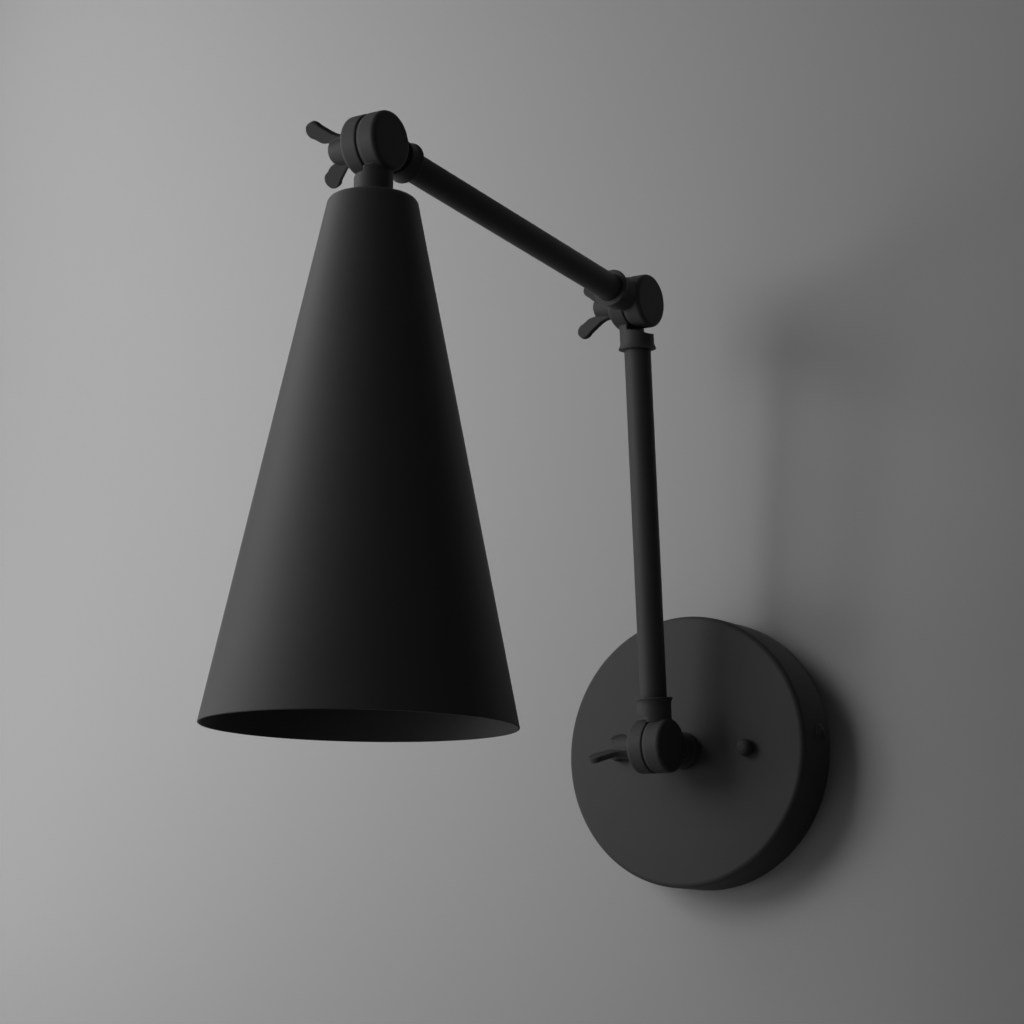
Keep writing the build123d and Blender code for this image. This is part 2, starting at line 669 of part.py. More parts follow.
def terminal_screws():
    """Return the lampholder's two slotted terminal screws, heads in the cap's hollow."""
    top = HOLDER_WEB_TOP - TERMINAL_HEAD_THICK
    head = base_cylinder(TERMINAL_HEAD, TERMINAL_HEAD_THICK, top)
    screw = head + base_cylinder(SMALL_SCREW, TERMINAL_SHANK, HOLDER_WEB_TOP) - driver_slot(top)
    return [Pos(*place, 0) * screw for place in terminal_places()]


def shade_pieces():
    """Return every piece that tilts with the shade, apart from its swivel's hardware."""
    nut_start = SHADE_TOP + SHADE_WALL + LOCK_WASHER_THICK
    pieces = {
        "shade_swivel_half": swivel_half(1, 0),
        "shade_check_ring": check_ring(SHADE_TOP - BOSS_END),
        "shade": shade(),
        "shade_nipple": nipple(BORE_FLOOR + THREAD_END_GAP, NIPPLE_IN_CAP),
        "shade_lock_washer": lock_washer(SHADE_TOP + SHADE_WALL),
        "shade_locknut": locknut(nut_start),
        "lampholder_cap": lampholder_cap(),
        "cap_set_screw": cap_set_screw(),
        "lampholder_body": lampholder_body(),
        "screw_shell": screw_shell(),
        "centre_contact": centre_contact(),
        "terminal_screws": Compound(terminal_screws()),
    }
    return {name: aim(piece, SHADE_PIVOT, SHADE_ANGLE) for name, piece in pieces.items()}


def lamp_pieces():
    """Return every piece of the lamp by node name."""
    pieces = wall_pieces()
    pieces.update(joint_hardware(WALL_PIVOT, "wall"))
    pieces.update(arm_pieces("lower_arm", LOWER_ARM, WALL_PIVOT, LOWER_ANGLE))
    pieces.update(joint_hardware(ELBOW_PIVOT, "elbow"))
    pieces.update(arm_pieces("upper_arm", UPPER_ARM, ELBOW_PIVOT, UPPER_ANGLE))
    pieces.update(joint_hardware(SHADE_PIVOT, "shade"))
    pieces.update(shade_pieces())
    return pieces


os.makedirs("parts", exist_ok=True)
for node, piece in lamp_pieces().items():
    export_step(piece, f"parts/{node}.step")
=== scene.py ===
"""The looks of an accordion wall lamp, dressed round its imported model.

Everything is in metres and in the lamp's own frame: the wall is the plane Y = 0, the lamp stands out
of it towards -Y, +Z is up, and +X is to the right as seen from the room. Sizes are written in
millimetres times MM. The places of the three swivels come from the frame.
"""

import json
import logging
import math
from dataclasses import dataclass, field
from enum import Enum
from typing import Mapping, Sequence

import bmesh
import bpy
from mathutils import Matrix, Vector


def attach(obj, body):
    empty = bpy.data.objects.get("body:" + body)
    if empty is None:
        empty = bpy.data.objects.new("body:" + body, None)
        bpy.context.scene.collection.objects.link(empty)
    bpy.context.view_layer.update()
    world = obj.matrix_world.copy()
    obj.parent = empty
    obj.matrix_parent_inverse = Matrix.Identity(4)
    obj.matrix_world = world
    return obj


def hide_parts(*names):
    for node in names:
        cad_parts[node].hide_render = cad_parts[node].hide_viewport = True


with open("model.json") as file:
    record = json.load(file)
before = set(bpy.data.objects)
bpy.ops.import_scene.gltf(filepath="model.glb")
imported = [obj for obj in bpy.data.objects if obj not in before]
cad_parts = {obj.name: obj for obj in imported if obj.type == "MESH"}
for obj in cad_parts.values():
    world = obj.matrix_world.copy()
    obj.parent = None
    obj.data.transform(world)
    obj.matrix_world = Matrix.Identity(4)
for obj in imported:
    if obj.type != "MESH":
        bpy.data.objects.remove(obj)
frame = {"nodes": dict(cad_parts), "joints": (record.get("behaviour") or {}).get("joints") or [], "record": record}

MM = 0.001
TAU = 2 * math.pi
WELD = 1e-6

log = logging.getLogger("lamp")

Colour = tuple[float, float, float]
Stretch = tuple[float, float, float]
Point = tuple[float, float]
Corner = tuple[float, float, float]


class Slot(Enum):
    """The finish slots of the lamp's record."""

    CANOPY = "canopy_paint"
    ARM = "arm_paint"
    SHADE = "shade_paint"
    NUT = "nut_paint"
    PLUG = "side_plug_metal"
    ZINC = "zinc_plate"
    STEEL = "joint_steel"
    FIBRE = "fibre"
    GREEN = "ground_green"
    PHENOLIC = "phenolic"
    ALUMINIUM = "shell_aluminium"
    BRASS = "contact_brass"


class Ray(Enum):
    """The kinds of ray that the studio's surfaces and its world can tell apart."""

    CAMERA = "Is Camera Ray"
    GLOSSY = "Is Glossy Ray"
    TRANSMISSION = "Is Transmission Ray"
    SHADOW = "Is Shadow Ray"


# ---- Node trees ----
class Value:
    """A number socket of a node tree that takes part in Python arithmetic."""

    def __init__(self, graph: "Graph", socket: bpy.types.NodeSocket) -> None:
        """Wrap one socket of a graph."""
        self.graph = graph
        self.socket = socket

    def __add__(self, other: "Value | float") -> "Value":
        """Add a value or a number."""
        return self.graph.math("ADD", self, other)

    __radd__ = __add__

    def __sub__(self, other: "Value | float") -> "Value":
        """Take a value or a number away."""
        return self.graph.math("SUBTRACT", self, other)

    def __rsub__(self, other: float) -> "Value":
        """Take this value away from a number."""
        return self.graph.math("SUBTRACT", other, self)

    def __mul__(self, other: "Value | float") -> "Value":
        """Multiply by a value or a number."""
        return self.graph.math("MULTIPLY", self, other)

    __rmul__ = __mul__

    def __truediv__(self, other: "Value | float") -> "Value":
        """Divide by a value or a number."""
        return self.graph.math("DIVIDE", self, other)

    def swing(self, width: float) -> "Value":
        """Turn a pattern of 0 to 1 into a swing round zero, of the given full width."""
        return (self - 0.5) * width

    def clamped(self) -> "Value":
        """Keep the value between 0 and 1."""
        return Value(self.graph, self.graph.add("ShaderNodeClamp", inputs={"Value": self}).outputs[0])


class Graph:
    """A node tree under construction, of a material or of Geometry Nodes."""

    def __init__(self, tree: bpy.types.NodeTree) -> None:
        """Start on a tree that may already hold nodes."""
        self.tree = tree

    def add(
        self,
        kind: str,
        settings: Mapping[str, object] | None = None,
        inputs: Mapping[str | int, object] | None = None,
    ) -> bpy.types.Node:
        """Add one node.

        Args:
            kind: The node's type.
            settings: Its properties, which are set first.
            inputs: The values or links of its sockets, by name or place.

        Returns:
            The new node.
        """
        node = self.tree.nodes.new(kind)
        for name, value in (settings or {}).items():
            setattr(node, name, value)
        for name, value in (inputs or {}).items():
            self.feed(node.inputs[name], value)
        return node

    def feed(self, socket: bpy.types.NodeSocket, value: object) -> None:
        """Link a socket to a value or another socket, or set it to a number.

        Args:
            socket: The input to fill.
            value: A Value, an output socket, or something the socket can hold.
        """
        if isinstance(value, Value):
            value = value.socket
        if isinstance(value, bpy.types.NodeSocket):
            self.tree.links.new(value, socket)
        else:
            socket.default_value = value

    def math(self, operation: str, *operands: "Value | float") -> Value:
        """Add a Math node.

        Args:
            operation: The node's operation.
            operands: Its values, in order.

        Returns:
            The node's result.
        """
        node = self.add("ShaderNodeMath", {"operation": operation}, dict(enumerate(operands)))
        return Value(self, node.outputs[0])

    def rays(self, *kinds: Ray) -> Value:
        """Return 1 for rays of any of the given kinds, and 0 for all others."""
        path = self.add("ShaderNodeLightPath").outputs
        return sum(Value(self, path[kind.value]) for kind in kinds).clamped()

    def mix(self, share: Value, low: Colour, high: Colour) -> bpy.types.NodeSocket:
        """Blend two colours.

        Args:
            share: How much of the second colour, from 0 to 1.
            low: The colour where the share is 0.
            high: The colour where the share is 1.

        Returns:
            The colour socket.
        """
        node = self.add("ShaderNodeMix", {"data_type": "RGBA"}, {"Factor": share})
        colour_inputs = [s for s in node.inputs if s.type == "RGBA"]
        self.feed(colour_inputs[0], (*low, 1.0))
        self.feed(colour_inputs[1], (*high, 1.0))
        return next(s for s in node.outputs if s.type == "RGBA")


class Surface(Graph):
    """The shader tree of one finish, with its patterns laid out in object space."""

    BEVEL_SAMPLES = 4
    EDGE_GAIN = 8

    def __init__(self, name: str) -> None:
        """Make an empty material with a Principled shader.

        Args:
            name: The material's name.
        """
        self.material = bpy.data.materials.new(name)
        self.material.use_nodes = True
        super().__init__(self.material.node_tree)
        self.shader = next(n for n in self.tree.nodes if n.type == "BSDF_PRINCIPLED")
        self.place = self.add("ShaderNodeTexCoord").outputs["Object"]

    def speckle(self, size: float, detail: float = 2.0, stretch: Stretch = (1.0, 1.0, 1.0)) -> Value:
        """Return soft noise between 0 and 1.

        Args:
            size: The width of one blot, in metres.
            detail: How many finer layers lie on it.
            stretch: How much longer than wide the blots are along each axis.
        """
        scale = [1 / along for along in stretch]
        turned = self.add("ShaderNodeMapping", inputs={"Vector": self.place, "Scale": scale})
        noise = self.add(
            "ShaderNodeTexNoise",
            inputs={"Vector": turned.outputs[0], "Scale": 1 / size, "Detail": detail},
        )
        return Value(self, noise.outputs[0])

    def edges(self, reach: float) -> Value:
        """Return how strongly the surface bends within a reach, 0 on flat ground.

        Args:
            reach: How far from an edge it counts, in metres.
        """
        bevel = self.add("ShaderNodeBevel", {"samples": self.BEVEL_SAMPLES}, {"Radius": reach})
        true = self.add("ShaderNodeNewGeometry").outputs["Normal"]
        dot = self.add("ShaderNodeVectorMath", {"operation": "DOT_PRODUCT"}, {0: bevel.outputs[0], 1: true})
        return (1 - Value(self, dot.outputs["Value"])) * self.EDGE_GAIN

    def set(self, **values: object) -> None:
        """Fill the shader's sockets, named with underscores for spaces."""
        for name, value in values.items():
            self.feed(self.shader.inputs[name.replace("_", " ")], value)

    def relief(self, height: Value, depth: float) -> None:
        """Give the surface a fine relief.

        Args:
            height: The relief's pattern, from 0 to 1.
            depth: How deep it is, in metres.
        """
        bump = self.add("ShaderNodeBump", inputs={"Strength": 1.0, "Distance": depth, "Height": height})
        self.set(Normal=bump.outputs[0])


# ---- Finishes ----
@dataclass(frozen=True)
class PowderCoat:
    """A baked matte coat: fine nibs on a slow orange peel, paler on edges both for the thinner coat there and as a
    painted highlight of light caught on rounded edges.
    """

    colour: Colour = (0.024, 0.024, 0.025)
    # Paler colour: random tone reaches towards it, and edges take it both as thinner coat and as a painted
    # highlight.
    pale_wear_and_highlight: Colour = (0.048, 0.048, 0.049)
    roughness: float = 0.62
    nib: float = 0.35 * MM
    peel: float = 1.6 * MM
    drift: float = 28.0 * MM
    depth: float = 0.02 * MM
    edge_reach: float = 0.35 * MM
    specular: float = 0.15
    wear: float = 0.12
    drift_wear: float = 0.5
    nib_wear: float = 0.25
    edge_wear_and_highlight: float = 0.35
    drift_gloss: float = 0.1
    nib_gloss: float = 0.08
    nib_share: float = 0.55

    def make(self, name: str) -> bpy.types.Material:
        """Return the coat as a material."""
        surface = Surface(name)
        nibs = surface.speckle(self.nib, 1.0)
        peel = surface.speckle(self.peel, 0.0)
        drift = surface.speckle(self.drift, 3.0)
        edge = surface.edges(self.edge_reach)
        # Edges get the paler colour from the bevel mask: thinner coat there, and a painted highlight where light
        # catches rounded edges.
        pale_wear_and_highlight = self.wear + drift.swing(self.drift_wear) + nibs.swing(self.nib_wear) + edge * self.edge_wear_and_highlight
        surface.set(
            Base_Color=surface.mix(pale_wear_and_highlight.clamped(), self.colour, self.pale_wear_and_highlight),
            Roughness=self.roughness + drift.swing(self.drift_gloss) + nibs.swing(self.nib_gloss),
            Specular_IOR_Level=self.specular,
        )
        surface.relief(nibs * self.nib_share + peel * (1 - self.nib_share), self.depth)
        return surface.material


@dataclass(frozen=True)
class BareMetal:
    """Plated or bare metal with drawn lines, slow staining and fine pits."""

    bright: Colour
    dull: Colour
    roughness: float = 0.3
    line: float = 0.25 * MM
    stretch: Stretch = (1.0, 1.0, 8.0)
    stain: float = 6.0 * MM
    depth: float = 0.006 * MM
    dulling: float = 0.4
    stain_tone: float = 1.6
    line_tone: float = 0.4
    stain_gloss: float = 0.2
    line_gloss: float = 0.12

    def make(self, name: str) -> bpy.types.Material:
        """Return the metal as a material."""
        surface = Surface(name)
        lines = surface.speckle(self.line, 1.0, self.stretch)
        stain = surface.speckle(self.stain, 4.0)
        tone = (stain.swing(self.stain_tone) + self.dulling + lines.swing(self.line_tone)).clamped()
        surface.set(
            Base_Color=surface.mix(tone, self.bright, self.dull),
            Metallic=1.0,
            Roughness=self.roughness + stain.swing(self.stain_gloss) + lines.swing(self.line_gloss),
        )
        surface.relief(lines, self.depth)
        return surface.material


@dataclass(frozen=True)
class PressedFibre:
    """Black vulcanised fibre: a dry board with paler flecks along its grain."""

    board: Colour = (0.018, 0.017, 0.016)
    fleck: Colour = (0.045, 0.042, 0.038)
    grain: float = 0.3 * MM
    stretch: Stretch = (1.0, 4.0, 1.0)
    fleck_start: float = 0.45
    fleck_contrast: float = 4.0
    roughness: float = 0.75
    fleck_gloss: float = 0.2
    depth: float = 0.03 * MM

    def make(self, name: str) -> bpy.types.Material:
        """Return the board as a material."""
        surface = Surface(name)
        flecks = surface.speckle(self.grain, 3.0, self.stretch)
        paler = ((flecks - self.fleck_start) * self.fleck_contrast).clamped()
        surface.set(
            Base_Color=surface.mix(paler, self.board, self.fleck),
            Roughness=self.roughness + flecks.swing(self.fleck_gloss),
        )
        surface.relief(flecks, self.depth)
        return surface.material


@dataclass(frozen=True)
class Phenolic:
    """Moulded black phenolic: semi-gloss, with a faint brown flow in the resin."""

    resin: Colour = (0.016, 0.015, 0.014)
    flow: Colour = (0.035, 0.027, 0.022)
    roughness: float = 0.27
    flow_size: float = 5.0 * MM
    stretch: Stretch = (1.0, 1.0, 2.5)
    skin_size: float = 0.6 * MM
    flow_contrast: float = 3.0
    flow_gloss: float = 0.14
    skin_gloss: float = 0.06
    depth: float = 0.01 * MM

    def make(self, name: str) -> bpy.types.Material:
        """Return the moulding as a material."""
        surface = Surface(name)
        flow = surface.speckle(self.flow_size, 4.0, self.stretch)
        skin = surface.speckle(self.skin_size, 1.0)
        surface.set(
            Base_Color=surface.mix(flow.swing(self.flow_contrast).clamped(), self.resin, self.flow),
            Roughness=self.roughness + flow.swing(self.flow_gloss) + skin.swing(self.skin_gloss),
        )
        surface.relief(skin, self.depth)
        return surface.material


@dataclass(frozen=True)
class FinishBook:
    """Every finish of the lamp, by its slot."""

    coat: PowderCoat = PowderCoat()

    def make(self) -> dict[Slot, bpy.types.Material]:
        """Return the materials of all slots."""
        finishes = {
            Slot.CANOPY: self.coat,
            Slot.ARM: self.coat,
            Slot.SHADE: PowderCoat(depth=0.014 * MM),
            # The nut paint is a darker copy of the black coat: painted shade.
            Slot.NUT: PowderCoat(colour=(0.017, 0.017, 0.018), peel=1.1 * MM, depth=0.035 * MM),
            Slot.PLUG: PowderCoat(roughness=0.42, pale_wear_and_highlight=(0.09, 0.09, 0.088)),
            Slot.ZINC: BareMetal((0.66, 0.65, 0.60), (0.44, 0.43, 0.36)),
            Slot.STEEL: BareMetal((0.06, 0.06, 0.06), (0.03, 0.029, 0.028), roughness=0.62),
            Slot.FIBRE: PressedFibre(),
            Slot.GREEN: BareMetal((0.03, 0.26, 0.09), (0.02, 0.13, 0.05), roughness=0.35),
            Slot.PHENOLIC: Phenolic(),
            Slot.ALUMINIUM: BareMetal((0.80, 0.80, 0.81), (0.62, 0.62, 0.62), stretch=(8.0, 8.0, 1.0)),
            Slot.BRASS: BareMetal((0.78, 0.57, 0.25), (0.48, 0.32, 0.12)),
        }
        return {slot: finish.make(slot.value) for slot, finish in finishes.items()}


# ---- Outlines ----
LEAST_STEPS = 3
STEPS_A_RADIAN = 2.0
STEPS_FOR_SIZE = 1.2


def arc_points(corner: Vector, before: Vector, after: Vector, radius: float) -> list[Vector]:
    """Return the points that round one corner of an outline.

    Args:
        corner: The corner.
        before: The outline's point before it.
        after: The outline's point after it.
        radius: The rounding's radius.
    """
    back = (before - corner).normalized()
    onward = (after - corner).normalized()
    half = back.angle(onward) / 2
    centre = corner + (back + onward).normalized() * (radius / math.sin(half))
    start = corner + back * (radius / math.tan(half)) - centre
    end = corner + onward * (radius / math.tan(half)) - centre
    turn = start.angle_signed(end)
    fineness = STEPS_A_RADIAN + STEPS_FOR_SIZE * math.sqrt(radius / MM)
    steps = max(LEAST_STEPS, round(abs(turn) * fineness))
    spokes = (Matrix.Rotation(-turn * step / steps, 2) @ start for step in range(steps + 1))
    return [centre + spoke for spoke in spokes]


def rounded(corners: Sequence[Corner]) -> list[Point]:
    """Return a closed outline's points, its corners rounded.

    Args:
        corners: The (radius, height, rounding) of each corner, in metres.
    """
    places = [Vector(corner[:2]) for corner in corners]
    points: list[Point] = []
    for number, (_, _, radius) in enumerate(corners):
        here = places[number]
        if radius:
            following = places[(number + 1) % len(places)]
            points += [tuple(p) for p in arc_points(here, places[number - 1], following, radius)]
        else:
            points.append(tuple(here))
    return points


def outline_mesh(name: str, points: Sequence[Point], hub: float = 0.0) -> bpy.types.Mesh:
    """Return a closed outline as a mesh of edges, for a tree that turns it.

    Args:
        name: The mesh's name.
        points: The (radius, height) points.
        hub: What is taken from each radius.
    """
    mesh = bpy.data.meshes.new(name)
    count = len(points)
    edges = [(i, (i + 1) % count) for i in range(count)]
    mesh.from_pydata([(radius - hub, -height, 0.0) for radius, height in points], edges, [])
    return mesh


# ---- Geometry Nodes ----
class Recipe(Graph):
    """A Geometry Nodes tree with named inputs that makes one kind of shape."""

    def __init__(self, name: str, inputs: Mapping[str, str]) -> None:
        """Start a tree.

        Args:
            name: The tree's name.
            inputs: The name and socket type of each size it takes.
        """
        tree = bpy.data.node_groups.new(name, "GeometryNodeTree")
        super().__init__(tree)
        sockets = {"Geometry": "NodeSocketGeometry", **inputs, "Finish": "NodeSocketMaterial"}
        for label, kind in sockets.items():
            tree.interface.new_socket(label, in_out="INPUT", socket_type=kind)
        tree.interface.new_socket("Geometry", in_out="OUTPUT", socket_type="NodeSocketGeometry")
        self.source = self.add("NodeGroupInput").outputs

    def size(self, label: str) -> Value:
        """Return one of the tree's number inputs."""
        return Value(self, self.source[label])

    def close(self, geometry: bpy.types.NodeSocket) -> None:
        """End the tree: instances made real, material set.

        Args:
            geometry: The shape to hand out.
        """
        real = self.add("GeometryNodeRealizeInstances", inputs={0: geometry})
        dressed = self.add(
            "GeometryNodeSetMaterial",
            inputs={"Geometry": real.outputs[0], "Material": self.source["Finish"]},
        )
        self.add("NodeGroupOutput", inputs={0: dressed.outputs[0]})

    def run(self, name: str, host: bpy.types.Mesh, **values: object) -> bpy.types.Mesh:
        """Run the tree on a mesh and return the plain mesh it makes.

        Args:
            name: The new mesh's name.
            host: The mesh that the tree starts from.
            values: The tree's inputs, named with underscores for spaces.
        """
        obj = bpy.data.objects.new(name, host)
        bpy.context.scene.collection.objects.link(obj)
        modifier = obj.modifiers.new(name, "NODES")
        modifier.node_group = self.tree
        for item in self.tree.interface.items_tree:
            label = item.name.replace(" ", "_")
            if item.in_out == "INPUT" and label in values:
                modifier[item.identifier] = values[label]
        mesh = plain_mesh(obj)
        bpy.data.objects.remove(obj)
        mesh.name = name
        return mesh


class Lathe(Recipe):
    """Turns a closed outline round local Z."""

    HUB = 1.0 * MM

    def __init__(self) -> None:
        """Build the tree: the outline is the profile of a small circle."""
        super().__init__("lathe", {"Facets": "NodeSocketInt"})
        circle = self.add(
            "GeometryNodeCurvePrimitiveCircle",
            inputs={"Resolution": self.source["Facets"], "Radius": self.HUB},
        )
        profile = self.add("GeometryNodeMeshToCurve", inputs={0: self.source["Geometry"]})
        skin = self.add(
            "GeometryNodeCurveToMesh",
            inputs={"Curve": circle.outputs[0], "Profile Curve": profile.outputs[0]},
        )
        closed = self.add("GeometryNodeMergeByDistance", inputs={0: skin.outputs[0], "Distance": WELD})
        self.close(closed.outputs[0])

    def turn(
        self, name: str, points: Sequence[Point], finish: bpy.types.Material, facets: int
    ) -> bpy.types.Mesh:
        """Return the turned mesh.

        Args:
            name: The mesh's name.
            points: The closed outline as (radius, height).
            finish: Its material.
            facets: How many flats go round it.
        """
        host = outline_mesh(name, points, self.HUB)
        return self.run(name, host, Facets=facets, Finish=finish)


class Row(Recipe):
    """Repeats a piece evenly along local X, centred on the origin."""

    def __init__(self) -> None:
        """Build the tree: the piece is instanced on a line of points."""
        super().__init__("row", {"Count": "NodeSocketInt", "Spacing": "NodeSocketFloat"})
        first = (self.size("Count") - 1) * self.size("Spacing") * -0.5
        start = self.add("ShaderNodeCombineXYZ", inputs={"X": first})
        step = self.add("ShaderNodeCombineXYZ", inputs={"X": self.source["Spacing"]})
        line = self.add(
            "GeometryNodeMeshLine",
            {"mode": "OFFSET"},
            {"Count": self.source["Count"], "Start Location": start.outputs[0], "Offset": step.outputs[0]},
        )
        copies = self.add(
            "GeometryNodeInstanceOnPoints",
            inputs={"Points": line.outputs[0], "Instance": self.source["Geometry"]},
        )
        self.close(copies.outputs[0])

    def repeat(self, mesh: bpy.types.Mesh, count: int, spacing: float) -> bpy.types.Mesh:
        """Return a row of copies of a mesh, in its own material.

        Args:
            mesh: The piece to repeat.
            count: How many copies.
            spacing: The distance from one to the next.
        """
        return self.run(mesh.name, mesh, Count=count, Spacing=spacing, Finish=mesh.materials[0])


@dataclass(frozen=True)
class ThreadWall:
    """One threaded wall: its outermost radius, how deep the thread is cut, and its rise in a turn."""

    crest: float
    depth: float
    pitch: float


class Thread(Recipe):
    """Rolls a grid into a tube whose wall winds up and down as a screw thread does."""

    RINGS_A_TURN = 10
    LEAST_RINGS = 12
    FACETS = 72

    def __init__(self) -> None:
        """Build the tree: each point's angle and height come from its place on the grid."""
        sizes = ("Crest", "Depth", "Pitch", "Length", "Runout")
        inputs = {label: "NodeSocketFloat" for label in sizes}
        super().__init__("thread", {"Rings": "NodeSocketInt", "Facets": "NodeSocketInt", **inputs})
        grid = self.add(
            "GeometryNodeMeshGrid",
            inputs={
                "Size X": 1.0,
                "Size Y": 1.0,
                "Vertices X": self.source["Facets"],
                "Vertices Y": self.source["Rings"],
            },
        )
        point = self.add("GeometryNodeInputPosition").outputs[0]
        place = self.add("ShaderNodeSeparateXYZ", inputs={0: point})
        turn = Value(self, place.outputs["X"]) + 0.5
        height = (Value(self, place.outputs["Y"]) + 0.5) * self.size("Length")
        slope = self.math("PINGPONG", height / self.size("Pitch") - turn, 0.5) * 2
        wave = slope * slope * (3 - slope * 2)
        from_end = self.math("MINIMUM", height, self.size("Length") - height)
        fade = (from_end / self.size("Runout")).clamped()
        radius = self.size("Crest") - self.size("Depth") * (1 - wave * fade)
        spot = self.add(
            "ShaderNodeCombineXYZ",
            inputs={
                "X": radius * self.math("COSINE", turn * TAU),
                "Y": radius * self.math("SINE", turn * TAU),
                "Z": height,
            },
        )
        rolled = self.add(
            "GeometryNodeSetPosition",
            inputs={"Geometry": grid.outputs[0], "Position": spot.outputs[0]},
        )
        closed = self.add("GeometryNodeMergeByDistance", inputs={0: rolled.outputs[0], "Distance": WELD})
        self.close(closed.outputs[0])

    def wind(self, name: str, wall: ThreadWall, length: float, finish: bpy.types.Material) -> bpy.types.Mesh:
        """Return an open threaded tube that rises from the origin along local Z.

        Args:
            name: The mesh's name.
            wall: The thread's sizes.
            length: The tube's length.
            finish: Its material.
        """
        rings = max(self.LEAST_RINGS, round(length / wall.pitch * self.RINGS_A_TURN))
        return self.run(
            name,
            bpy.data.meshes.new(name),
            Crest=wall.crest,
            Depth=wall.depth,
            Pitch=wall.pitch,
            Length=length,
            Runout=wall.pitch / 2,
            Rings=rings,
            Facets=self.FACETS,
            Finish=finish,
        )


# ---- Meshes and pieces ----
def plain_mesh(obj: bpy.types.Object) -> bpy.types.Mesh:
    """Return an object's mesh with its modifiers applied."""
    bpy.context.view_layer.update()
    evaluated = obj.evaluated_get(bpy.context.evaluated_depsgraph_get())
    return bpy.data.meshes.new_from_object(evaluated)


def smooth(mesh: bpy.types.Mesh, crease: float = 32.0) -> None:
    """Shade a mesh smooth, with sharp edges where it turns by more than the crease angle."""
    mesh.shade_smooth()
    mesh.set_sharp_from_angle(angle=math.radians(crease))


def outward(mesh: bpy.types.Mesh) -> None:
    """Turn every face of a closed mesh outwards."""
    shape = bmesh.new()
    shape.from_mesh(mesh)
    bmesh.ops.remove_doubles(shape, verts=shape.verts, dist=WELD / 10)
    bmesh.ops.recalc_face_normals(shape, faces=shape.faces)
    shape.to_mesh(mesh)
    shape.free()


def joined(name: str, meshes: Sequence[bpy.types.Mesh]) -> bpy.types.Mesh:
    """Return one mesh that holds several, which share a material."""
    shape = bmesh.new()
    for mesh in meshes:
        shape.from_mesh(mesh)
    whole = bpy.data.meshes.new(name)
    shape.to_mesh(whole)
    shape.free()
    whole.materials.append(meshes[0].materials[0])
    return whole


def sealed(name: str, walls: Sequence[bpy.types.Mesh]) -> bpy.types.Mesh:
    """Return a closed mesh from one open tube, which gets flat ends, or from two in each other.

    A wound tube has an empty slot before its finish, so its faces go to the only slot left here.

    Args:
        name: The mesh's name.
        walls: The tubes along local Z, which start and end at the same heights.
    """
    shape = bmesh.new()
    for wall in walls:
        shape.from_mesh(wall)
    middle = max(vertex.co.z for vertex in shape.verts) / 2
    rims = [edge for edge in shape.edges if edge.is_boundary]
    for at_top in (False, True):
        end = [edge for edge in rims if (edge.verts[0].co.z > middle) == at_top]
        if len(walls) == 1:
            bmesh.ops.holes_fill(shape, edges=end)
        else:
            bmesh.ops.bridge_loops(shape, edges=end)
    for face in shape.faces:
        face.material_index = 0
    whole = bpy.data.meshes.new(name)
    shape.to_mesh(whole)
    shape.free()
    whole.materials.append(walls[0].materials[-1])
    return whole


def body_of(node: str) -> str:
    """Return the name of the moving body that a node belongs to."""
    bodies = frame["record"]["behaviour"]["bodies"]
    return next(body for body, nodes in bodies.items() if node in nodes)


def stand_in(mesh: bpy.types.Mesh, node: str) -> bpy.types.Object:
    """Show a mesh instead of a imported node.

    Args:
        mesh: The piece, in its place in the lamp's frame.
        node: The node that it stands for.

    Returns:
        The piece's object.
    """
    smooth(mesh)
    piece = bpy.data.objects.new(f"{node}_dressed", mesh)
    bpy.context.scene.collection.objects.link(piece)
    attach(piece, body_of(node))
    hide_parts(node)
    log.info("%s: %d faces", piece.name, len(mesh.polygons))
    return piece


def joint_place(name: str) -> Vector:
    """Return the point that a joint turns about, at rest."""
    joint = next(j for j in frame["joints"] if j["name"] == name)
    return Vector(joint["pos_m"])


def aim(start: Vector, direction: Vector) -> Matrix:
    """Return the place of a piece built along local Z from a point.

    Its local X lies along world X, or along world Z where the piece itself points along X.
    """
    along = direction.normalized()
    side = Vector((0.0, 0.0, 1.0)) if abs(along.x) > 0.5 else Vector((1.0, 0.0, 0.0))
    turn = Matrix((side, along.cross(side), along)).transposed()
    return Matrix.Translation(start) @ turn.to_4x4()


